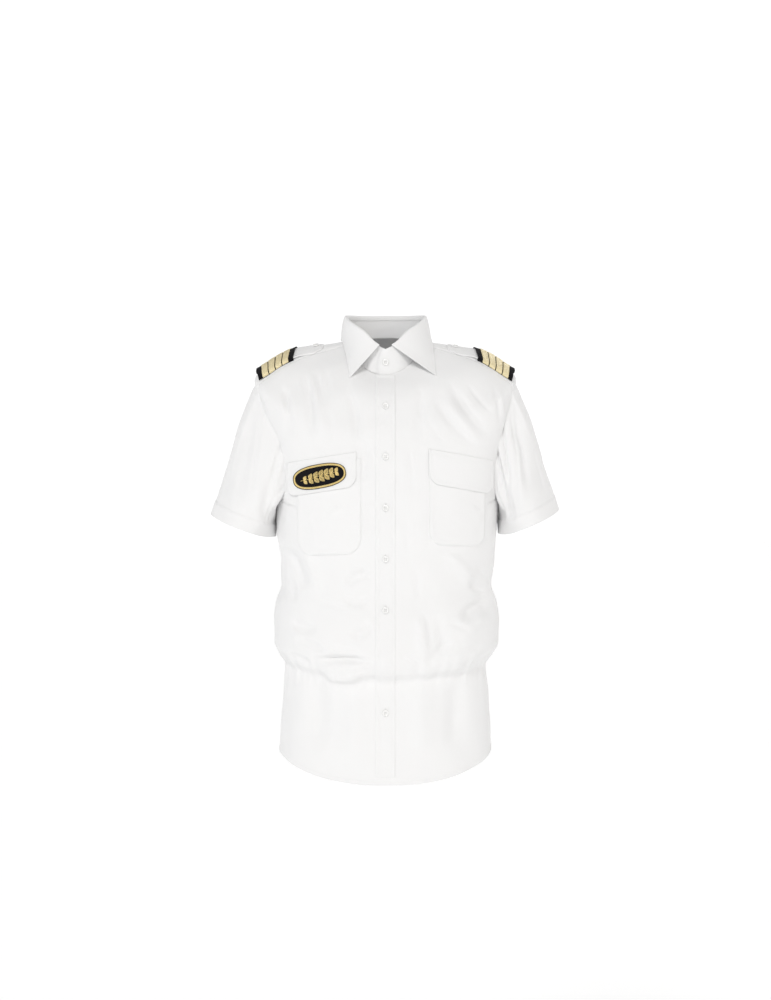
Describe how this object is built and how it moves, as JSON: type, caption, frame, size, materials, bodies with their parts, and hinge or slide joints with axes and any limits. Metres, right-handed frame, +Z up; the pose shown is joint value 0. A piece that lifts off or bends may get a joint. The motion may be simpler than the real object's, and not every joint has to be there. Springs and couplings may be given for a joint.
{
  "type": "short-sleeve uniform shirt",
  "caption": "Short-sleeve uniform shirt in worn, hollow form: turned-down collar, shoulder straps with braided slides, flapped chest pockets, buttoned front and a plain tail",
  "frame": {"origin": "Centre of the base of the neck, level with the shoulders' high points, where the wearer's shoulders hold the shirt up", "axes": "+Z up, front of the shirt faces -Y, +X to the wearer's left"},
  "size_m": [0.5956, 0.2522, 0.808],
  "materials": {
    "white_cloth": "matt white poplin",
    "black_felt": "matt black felt",
    "gold_braid": "gold lace braid with a soft metallic sheen",
    "pearl_button": "white pearl"
  },
  "bodies": {
    "root": {"front_right": "white_cloth", "front_left": "white_cloth", "back": "white_cloth", "yoke": "white_cloth", "sleeve_right": "white_cloth", "sleeve_left": "white_cloth", "placket": "white_cloth", "collar_stand": "white_cloth", "collar_fall": "white_cloth", "pocket_right": "white_cloth", "pocket_left": "white_cloth", "pocket_flap_right": "white_cloth", "pocket_flap_left": "white_cloth", "shoulder_strap_right": "white_cloth", "shoulder_strap_left": "white_cloth", "rank_slide_right": "black_felt", "rank_slide_left": "black_felt", "badge_ground": "black_felt", "rank_bar_right_1": "gold_braid", "rank_bar_right_2": "gold_braid", "rank_bar_right_3": "gold_braid", "rank_bar_right_4": "gold_braid", "rank_bar_left_1": "gold_braid", "rank_bar_left_2": "gold_braid", "rank_bar_left_3": "gold_braid", "rank_bar_left_4": "gold_braid", "badge_rim": "gold_braid", "button_collar": "pearl_button", "button_1": "pearl_button", "button_2": "pearl_button", "button_3": "pearl_button", "button_4": "pearl_button", "button_5": "pearl_button", "button_6": "pearl_button", "strap_button_right": "pearl_button", "strap_button_left": "pearl_button"}
  },
  "joints": []
}
